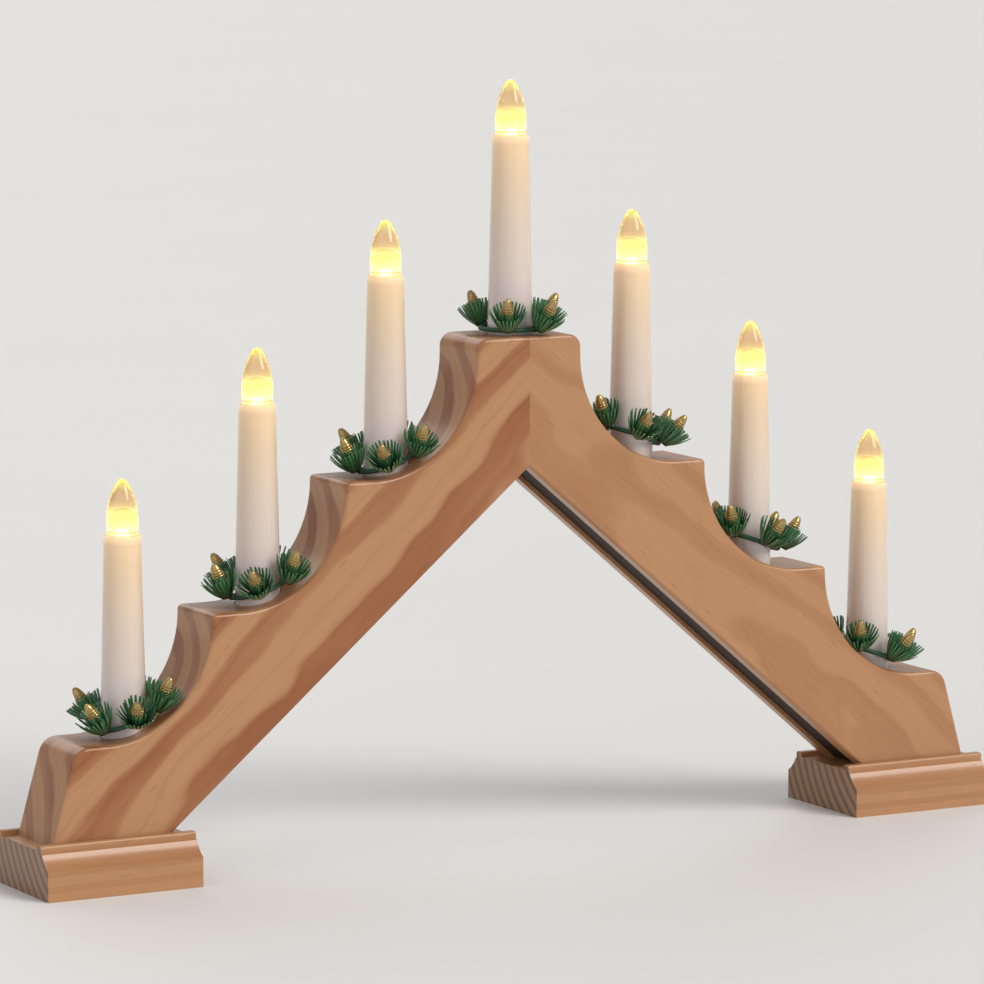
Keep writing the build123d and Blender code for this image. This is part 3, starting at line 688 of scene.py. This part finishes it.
def sprig_frames(number):
    """Place and turn of every sprig of a wreath, from its ring and the solids' leans."""
    low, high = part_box(f"wreath_ring_{number}")
    middle = (low + high) / 2
    lean = 0.0 if number == APEX_CANDLE else WREATH_TILT
    tilt = Matrix.Rotation(lean, 3, "Y")
    facing = Matrix.Rotation(math.pi if number < APEX_CANDLE else 0.0, 3, "Z")
    points, leans = [], []
    for place, rise in SPRIG_POSES[number - 1]:
        angle = math.radians(place)
        rise = math.radians(rise) + lean * math.cos(angle)
        way = Vector((math.cos(angle), math.sin(angle), 0.0))
        axis = way * math.cos(rise) + Vector((0.0, 0.0, math.sin(rise)))
        down = way * math.sin(rise) - Vector((0.0, 0.0, math.cos(rise)))
        side = Vector((-way.y, way.x, 0.0))
        turn = Matrix((side, axis.cross(side), axis)).transposed()
        seat = way * RING_RADIUS + axis * SEAT_LIFT + down * SEAT_SLIDE
        points.append(middle + facing @ (tilt @ seat))
        leans.append((facing @ tilt @ turn).to_quaternion())
    return points, leans


# Operators


class ArchOperator(bpy.types.Operator):
    """Shared settings of the arch's operators"""
    bl_options = {"REGISTER", "UNDO"}


class ARCH_OT_stage(ArchOperator):
    """Lays the pale floor, sets the soft lights and places the camera"""
    bl_idname = "arch.stage"
    bl_label = "Stage"

    def execute(self, context):
        settings = context.scene.arch_stage
        context.scene.view_settings.view_transform = "Standard"
        mesh = bpy.data.meshes.new("stage_floor")
        corners = [(x * FLOOR_REACH, y * FLOOR_REACH, 0) for x, y in ((-1, -1), (1, -1), (1, 1), (-1, 1))]
        mesh.from_pydata(corners, [], [(0, 1, 2, 3)])
        floor = bpy.data.objects.new("stage_floor", mesh)
        context.scene.collection.objects.link(floor)
        material, tree, shader, place = surface("Pale floor")
        cloud = noise(tree, place, 3.0, 2.0)
        dim = tuple(value * 0.97 for value in settings.floor)
        tone = colour_mix(tree, cloud, opaque(dim), opaque(settings.floor))
        feed(tree, shader, Base_Color=tone, Roughness=0.6)
        mesh.materials.append(material)
        world = bpy.data.worlds.new("Studio")
        world.use_nodes = True
        sky = world.node_tree.nodes["Background"].inputs
        sky[0].default_value = (0.96, 0.97, 1.0, 1.0)
        sky[1].default_value = settings.sky
        context.scene.world = world
        self.lamp("Key", (0.60, -1.00, 0.90), 32.0, settings.key, (1.0, 0.97, 0.93))
        self.lamp("Fill", (-1.00, -0.60, 0.45), 60.0, settings.fill, (0.96, 0.97, 1.0))
        self.lamp("Back", (0.15, 1.00, 0.80), 50.0, settings.fill, (1.0, 0.98, 0.95))
        self.camera(context)
        return {"FINISHED"}

    def lamp(self, name, come_from, width, strength, colour):
        """A wide soft light from a direction, even over the whole floor."""
        data = bpy.data.lights.new(name, "SUN")
        data.energy, data.angle, data.color = strength, math.radians(width), colour
        lamp = bpy.data.objects.new(name, data)
        lamp.location = come_from
        lamp.rotation_euler = (-Vector(come_from)).to_track_quat("-Z", "Y").to_euler()
        bpy.context.scene.collection.objects.link(lamp)

    def camera(self, context):
        """The view of the photograph: front left, a little from above, through a long lens."""
        yaw, pitch, roll = (math.radians(turn) for turn in (CAMERA_YAW, CAMERA_PITCH, CAMERA_ROLL))
        ahead = Vector((math.sin(yaw) * math.cos(pitch), math.cos(yaw) * math.cos(pitch), -math.sin(pitch)))
        right = Vector((math.cos(yaw), -math.sin(yaw), 0.0))
        up = right.cross(ahead)
        right, up = (right * math.cos(roll) + up * math.sin(roll),
                     up * math.cos(roll) - right * math.sin(roll))
        data = bpy.data.cameras.new("View")
        data.sensor_width = SENSOR_WIDTH
        data.lens = SENSOR_WIDTH * CAMERA_FOCAL / CAMERA_WIDTH
        data.clip_end = 200.0
        view = bpy.data.objects.new("View", data)
        turn = Matrix((right, up, -ahead)).transposed().to_4x4()
        view.matrix_world = Matrix.Translation(CAMERA_PLACE) @ turn
        context.scene.collection.objects.link(view)
        context.scene.camera = view


class ARCH_OT_wood(ArchOperator):
    """Gives the arms, feet and dowels their pine"""
    bl_idname = "arch.wood"
    bl_label = "Pine arms and feet"

    def execute(self, context):
        wood = context.scene.arch_wood
        left = pine("Left pine", ARM_SLOPE, (mm(34), mm(104)), 0.030, wood.ring_width, mm(9), 1.0)
        right = pine("Right pine", -ARM_SLOPE, (mm(-30), mm(118)), -0.075, wood.ring_width * 1.25, mm(26),
                     0.38)
        paint("left_arm", left)
        paint("right_arm", right)
        foot = pine("Foot pine", 0.0, (mm(-62), mm(52)), 0.0, wood.foot_ring_width, mm(3), 0.30)
        paint("left_foot", foot)
        paint("right_foot", foot)
        paint("mitre_dowels", pine("Dowel wood", 0.0, (0.0, mm(200)), 0.0, mm(1.5), mm(1), 0.3))
        return {"FINISHED"}


class ARCH_OT_candles(ArchOperator):
    """Gives the sleeves their lit cream plastic"""
    bl_idname = "arch.candles"
    bl_label = "Candle sleeves"

    def execute(self, context):
        for number in CANDLES:
            node = f"candle_tube_{number}"
            paint(node, lit_sleeve(f"Sleeve {number}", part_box(node)[1].z))
        return {"FINISHED"}


class ARCH_OT_lamps(ArchOperator):
    """Gives the flames, diodes, lamp bases and sockets their plastics"""
    bl_idname = "arch.lamps"
    bl_label = "Lamps"

    def execute(self, context):
        diode = lit_diode("Lit diode")
        base = moulded("Lamp base", (0.86, 0.84, 0.78), 0.40)
        for number in CANDLES:
            low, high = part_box(f"candle_tube_{number}")
            middle = (low.x + high.x) / 2
            paint(f"lamp_lens_{number}", clear_flame(f"Flame {number}", middle, high.z))
            paint(f"lamp_diode_{number}", diode)
            paint(f"lamp_base_{number}", base)
        paint("lamp_sockets", moulded("Socket plastic", (0.84, 0.82, 0.76), 0.50))
        return {"FINISHED"}


class ARCH_OT_sprigs(ArchOperator):
    """Grows the fir sprigs of every wreath"""
    bl_idname = "arch.sprigs"
    bl_label = "Fir sprigs"

    def execute(self, context):
        wreaths = context.scene.arch_wreaths
        tree, green = sprig_tree(), fir_green("Fir needles")
        for number in CANDLES:
            points, leans = sprig_frames(number)
            piece = grown(f"fir_sprigs_{number}", points, leans, tree, Needles=wreaths.needles,
                          Width=wreaths.needle_width, Thickness=wreaths.needle_thickness,
                          Root_Radius=NEEDLE_ROOT_RADIUS, Tip_Radius=NEEDLE_TIP_RADIUS,
                          Tip_Height=NEEDLE_TIP_HEIGHT, Seed=wreaths.seed + number, Material=green)
            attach(piece, f"wreath_{number}")
            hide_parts(f"wreath_sprigs_{number}")
        return {"FINISHED"}


class ARCH_OT_cones(ArchOperator):
    """Grows the gilt cones of every wreath"""
    bl_idname = "arch.cones"
    bl_label = "Gilt cones"

    def execute(self, context):
        wreaths = context.scene.arch_wreaths
        tree, gold = cone_tree(), gilt("Gilt cone")
        for number in CANDLES:
            points, leans = sprig_frames(number)
            piece = grown(f"gilt_cones_{number}", points, leans, tree, Scales=wreaths.scales,
                          Foot=CONE_FOOT, Length=CONE_LENGTH, Radius=CONE_RADIUS, Material=gold)
            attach(piece, f"wreath_{number}")
            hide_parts(f"wreath_cones_{number}")
        return {"FINISHED"}


class ARCH_OT_fittings(ArchOperator):
    """Gives the rings, channel covers, cable, inlet and screws their finishes"""
    bl_idname = "arch.fittings"
    bl_label = "Rings and fittings"

    def execute(self, context):
        wire = wound_wire("Wreath wire", (0.012, 0.050, 0.022))
        for number in CANDLES:
            paint(f"wreath_ring_{number}", wire)
        board = plain_board("Cover board", (0.022, 0.013, 0.009), 2200.0)
        paint("left_channel_cover", board)
        paint("right_channel_cover", board)
        paint("cable_harness", moulded("Cable jacket", (0.72, 0.70, 0.64), 0.55))
        paint("cable_inlet", moulded("Inlet plastic", (0.050, 0.034, 0.024), 0.45))
        paint("foot_screws", steel("Zinc steel"))
        return {"FINISHED"}


class ARCH_PT_panel(bpy.types.Panel):
    """Lists the steps that dress the arch"""
    bl_idname = "ARCH_PT_panel"
    bl_label = "Candle Arch"
    bl_space_type = "VIEW_3D"
    bl_region_type = "UI"
    bl_category = "Candle Arch"

    def draw(self, context):
        for operator in OPERATORS:
            self.layout.operator(operator.bl_idname)
        for group in GROUPS:
            box = self.layout.box()
            for key in getattr(bpy.types, group[1].__name__).__annotations__:
                box.prop(getattr(context.scene, group[0]), key)


OPERATORS = (ARCH_OT_stage, ARCH_OT_wood, ARCH_OT_candles, ARCH_OT_lamps, ARCH_OT_sprigs, ARCH_OT_cones,
             ARCH_OT_fittings)
GROUPS = (("arch_wood", ArchWood), ("arch_candles", ArchCandles), ("arch_wreaths", ArchWreaths),
          ("arch_stage", ArchStage))


def register():
    """Adds the settings, operators and panel."""
    for key, group in GROUPS:
        bpy.utils.register_class(group)
        setattr(bpy.types.Scene, key, bpy.props.PointerProperty(type=group))
    for operator in OPERATORS:
        bpy.utils.register_class(operator)
    bpy.utils.register_class(ARCH_PT_panel)


def unregister():
    """Takes them away again."""
    bpy.utils.unregister_class(ARCH_PT_panel)
    for operator in reversed(OPERATORS):
        bpy.utils.unregister_class(operator)
    for key, group in reversed(GROUPS):
        delattr(bpy.types.Scene, key)
        bpy.utils.unregister_class(group)


def main():
    """Dresses the whole arch."""
    register()
    bpy.ops.arch.stage()
    bpy.ops.arch.wood()
    bpy.ops.arch.candles()
    bpy.ops.arch.lamps()
    bpy.ops.arch.sprigs()
    bpy.ops.arch.cones()
    bpy.ops.arch.fittings()


if __name__ == "__main__":
    main()
